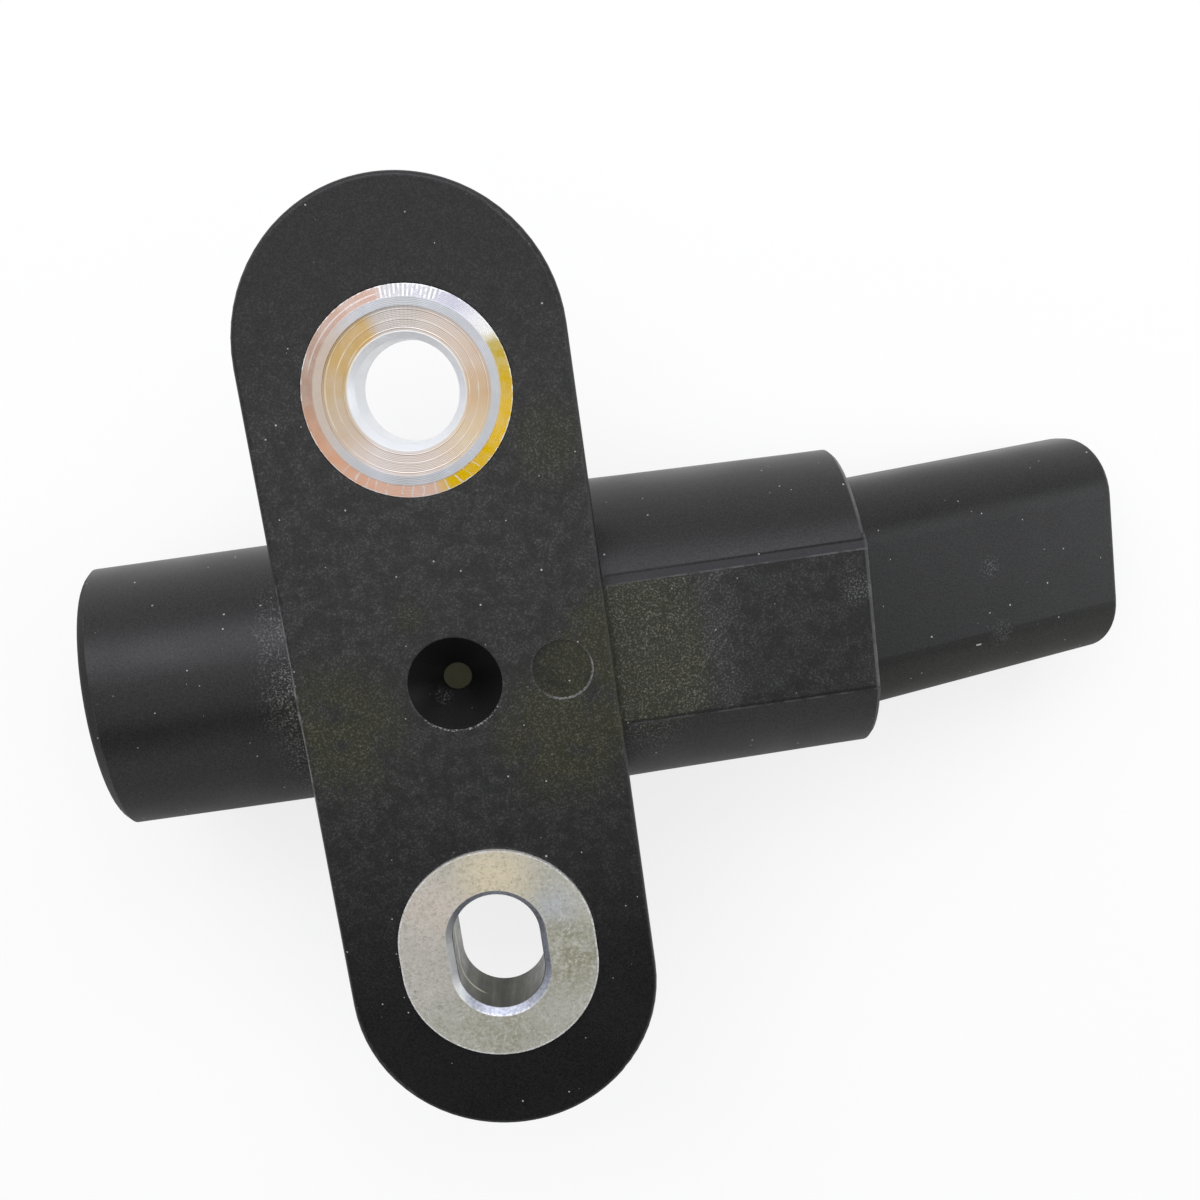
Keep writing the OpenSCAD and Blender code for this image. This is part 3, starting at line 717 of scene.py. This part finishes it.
def bobbin_plastic():
    """Olive spool plastic with a fine grain, darkened as painted shade where the centre hole shows it."""
    skin = Finish("bobbin_plastic")
    grain = skin.noise(0.2, detail=3.0, roughness=0.6)
    skin.tone = skin.mix(skin.noise(2.5, detail=3.0), rgb(0.2, 0.2, 0.1), rgb(0.32, 0.31, 0.18))
    # Painted shade where the centre hole shows the bobbin; it also lowers the specular level there.
    hole_shade = skin.near((0.0, AXIS_Y, HOLE_FLOOR_Z), 1.2, 2.0)
    shade_tone = skin.mix(skin.noise(0.4), rgb(0.012, 0.0125, 0.006), rgb(0.022, 0.0215, 0.01))
    skin.coat(shade_tone, hole_shade, 0.96)
    return skin.done(
        Roughness=skin.step(grain, 0.2, 0.8, 0.45, 0.6),
        Specular_IOR_Level=skin.between(hole_shade, 0.5, 0.15),
        Normal=skin.bump(grain, 0.02, skin.rounded(0.1)),
    )


def copper_wire():
    """Enamelled copper with the turns of a fine winding."""
    wire_pitch = 0.16
    skin = Finish("copper")
    turns = skin.wave(skin.axis("X"), wire_pitch)
    skin.tone = skin.mix(skin.noise(1.4, detail=3.0), rgb(0.42, 0.15, 0.05), rgb(0.66, 0.27, 0.1))
    rough = skin.step(turns, -1.0, 1.0, 0.34, 0.26)
    return skin.done(Roughness=rough, Normal=skin.bump(turns, 0.03), Metallic=0.9, Coat_Weight=0.4)


def film_tape():
    """Amber film with its lapped edges and small creases."""
    lap_pitch = 2.6
    skin = Finish("tape")
    laps = skin.step(skin.math("FRACT", skin.math("DIVIDE", skin.axis("X"), lap_pitch)), 0.9, 1.0)
    creases = skin.noise(0.8, detail=3.0, roughness=0.6, stretch=(0.4, 1, 1))
    skin.tone = skin.mix(laps, rgb(0.62, 0.4, 0.07), rgb(0.42, 0.24, 0.03))
    rough = skin.step(creases, 0.3, 0.7, 0.18, 0.32)
    return skin.done(Roughness=rough, Normal=skin.bump(skin.plus(laps, creases), 0.03))


def soft_iron():
    """Bare iron pin, faced on a lathe, with a film of rust in places."""
    facing_pitch = 0.18
    skin = Finish("iron")
    radius = skin.length(skin.plus(skin.axis("Y"), -AXIS_Y), skin.plus(skin.axis("Z"), -AXIS_Z))
    rust = skin.step(skin.noise(1.2, detail=4.0, roughness=0.65), 0.55, 0.72)
    skin.tone = skin.mix(skin.times(rust, 0.6), rgb(0.3, 0.3, 0.31), rgb(0.16, 0.085, 0.045))
    lines = skin.bump(skin.wave(radius, facing_pitch), 0.012, skin.rounded(0.08))
    return skin.done(Roughness=skin.between(rust, 0.36, 0.6), Normal=lines, Metallic=0.9)


def sintered_magnet():
    """Dark sintered magnet with a granular skin."""
    skin = Finish("magnet")
    grain = skin.noise(0.12, detail=3.0, roughness=0.7)
    skin.tone = skin.mix(skin.noise(1.0), grey(0.07), grey(0.14))
    rough = skin.step(grain, 0.3, 0.7, 0.42, 0.6)
    return skin.done(Roughness=rough, Normal=skin.bump(grain, 0.02, skin.rounded(0.08)), Metallic=0.7)


def tinned_contact():
    """Tin-plated strip with rolling lines along the blade."""
    skin = Finish("contact")
    lines = skin.noise(0.14, roughness=0.6, stretch=(0.06, 1, 1))
    skin.tone = skin.mix(skin.noise(1.5, detail=3.0), rgb(0.52, 0.51, 0.47), rgb(0.68, 0.66, 0.6))
    rough = skin.step(lines, 0.3, 0.7, 0.24, 0.36)
    return skin.done(Roughness=rough, Normal=skin.bump(lines, 0.008, skin.rounded(0.06)), Metallic=1.0)


FINISHES = {
    "black_plastic": black_plastic,
    "turned_bush": turned_bush,
    "zinc_bush": zinc_bush,
    "bobbin_plastic": bobbin_plastic,
    "copper": copper_wire,
    "tape": film_tape,
    "iron": soft_iron,
    "magnet": sintered_magnet,
    "contact": tinned_contact,
}


def dress_nodes():
    """Gives every CAD node the finish of its material slot."""
    made = {slot: make() for slot, make in FINISHES.items()}
    for row in frame["record"]["subparts"]:
        mesh_slots = frame["nodes"][row["node"]].data.materials
        mesh_slots.clear()
        mesh_slots.append(made[row["material_slot"]])


def floor_paper():
    """White paper; its own light lifts it for the eye, less in front, and keeps a soft shadow."""
    near_y, far_y = -20 * MM, 15 * MM
    lift_near, lift_far = 0.75, 0.9
    material = bpy.data.materials.new("floor")
    material.use_nodes = True
    tree = Tree(material.node_tree)
    material.node_tree.nodes.clear()
    path = tree.add("LightPath").outputs
    seen = tree.most(path["Is Camera Ray"], path["Is Glossy Ray"], path["Is Transmission Ray"])
    place = tree.add("SeparateXYZ", {0: tree.add("TexCoord").outputs["Object"]}).outputs
    lift = tree.times(seen, tree.line(place["Y"], near_y, far_y, lift_near, lift_far))
    paper = tree.add("BsdfDiffuse", {"Color": grey(0.95)}).outputs[0]
    glow = tree.add("Emission", {"Color": WHITE}).outputs[0]
    blend = tree.add("MixShader", {0: lift, 1: paper, 2: glow}).outputs[0]
    tree.add("OutputMaterial", {"Surface": blend})
    return material


def add_floor():
    """White floor under the part."""
    reach = 4.0
    floor_z = CAD_BOX[0][2]
    mesh = bpy.data.meshes.new("floor")
    corners = [(x * reach, y * reach, floor_z) for x, y in ((-1, -1), (1, -1), (1, 1), (-1, 1))]
    mesh.from_pydata(corners, [], [(0, 1, 2, 3)])
    mesh.materials.append(floor_paper())
    floor = bpy.data.objects.new("floor", mesh)
    bpy.context.collection.objects.link(floor)


def add_world():
    """Pale room: bright near the horizon, dim overhead and on the side away from the window."""
    sky_levels = ((0.0, 0.9), (0.35, 0.7), (0.7, 0.2), (1.0, 0.2))
    dim_y, full_y = -0.7, 0.3
    dim_level, full_level = 0.35, 1.0
    world = bpy.data.worlds.new("studio")
    world.use_nodes = True
    tree = Tree(world.node_tree)
    towards = tree.add("SeparateXYZ", {0: tree.add("TexCoord").outputs["Generated"]}).outputs
    background = world.node_tree.nodes["Background"].inputs
    sky = tree.ramp(towards["Z"], [(height, grey(level)) for height, level in sky_levels])
    tree.feed(background["Color"], sky)
    tree.feed(background["Strength"], tree.line(towards["Y"], dim_y, full_y, dim_level, full_level))
    bpy.context.scene.world = world


def softbox(name, place, size, radiance, colour=(1.0, 1.0, 1.0), mirrored=True):
    """Area light of that radiance that faces the part; place and size in metres."""
    watts_per_radiance = 4.0
    light = bpy.data.lights.new(name, "AREA")
    light.shape = "RECTANGLE"
    light.size, light.size_y = size
    light.energy = watts_per_radiance * radiance * size[0] * size[1]
    light.color = colour
    lamp = bpy.data.objects.new(name, light)
    lamp.location = place
    aim = LIT_POINT * MM - Vector(place)
    lamp.rotation_euler = aim.to_track_quat("-Z", "Y").to_euler()
    lamp.visible_camera = False
    lamp.visible_glossy = mirrored
    bpy.context.collection.objects.link(lamp)


def add_lights():
    """White ceiling, a bluish window behind, a cool side light, and a sky that shows in no mirror."""
    softbox("ceiling", place=(0.0, 0.08, 0.62), size=(1.0, 0.6), radiance=0.6)
    softbox("window", place=(0.0, 0.5, 0.5), size=(1.0, 0.36), radiance=2.1, colour=(0.91, 0.91, 1.0))
    softbox("side", place=(0.62, -0.05, 0.33), size=(0.35, 0.8), radiance=0.85, colour=(0.94, 0.96, 1.0))
    softbox("sky", place=(0.0, 0.35, 0.7), size=(0.9, 0.9), radiance=0.6, mirrored=False)


def add_camera():
    """Camera at the photograph's place."""
    data = bpy.data.cameras.new("camera")
    data.sensor_width = SENSOR_W
    data.lens = CAMERA_LENS
    data.clip_start = 1 * MM
    camera = bpy.data.objects.new("camera", data)
    aim = (CAMERA_TARGET - CAMERA_PLACE).normalized()
    right = aim.cross(Vector((0, 1, 0))).normalized()
    right = Matrix.Rotation(CAMERA_ROLL, 3, aim) @ right
    up = right.cross(aim)
    turn = Matrix((right, up, -aim)).transposed()
    camera.matrix_world = Matrix.Translation(CAMERA_PLACE * MM) @ turn.to_4x4()
    bpy.context.collection.objects.link(camera)
    bpy.context.scene.camera = camera


dress_nodes()
add_floor()
add_world()
add_lights()
add_camera()
bpy.context.scene.view_settings.view_transform = "Standard"
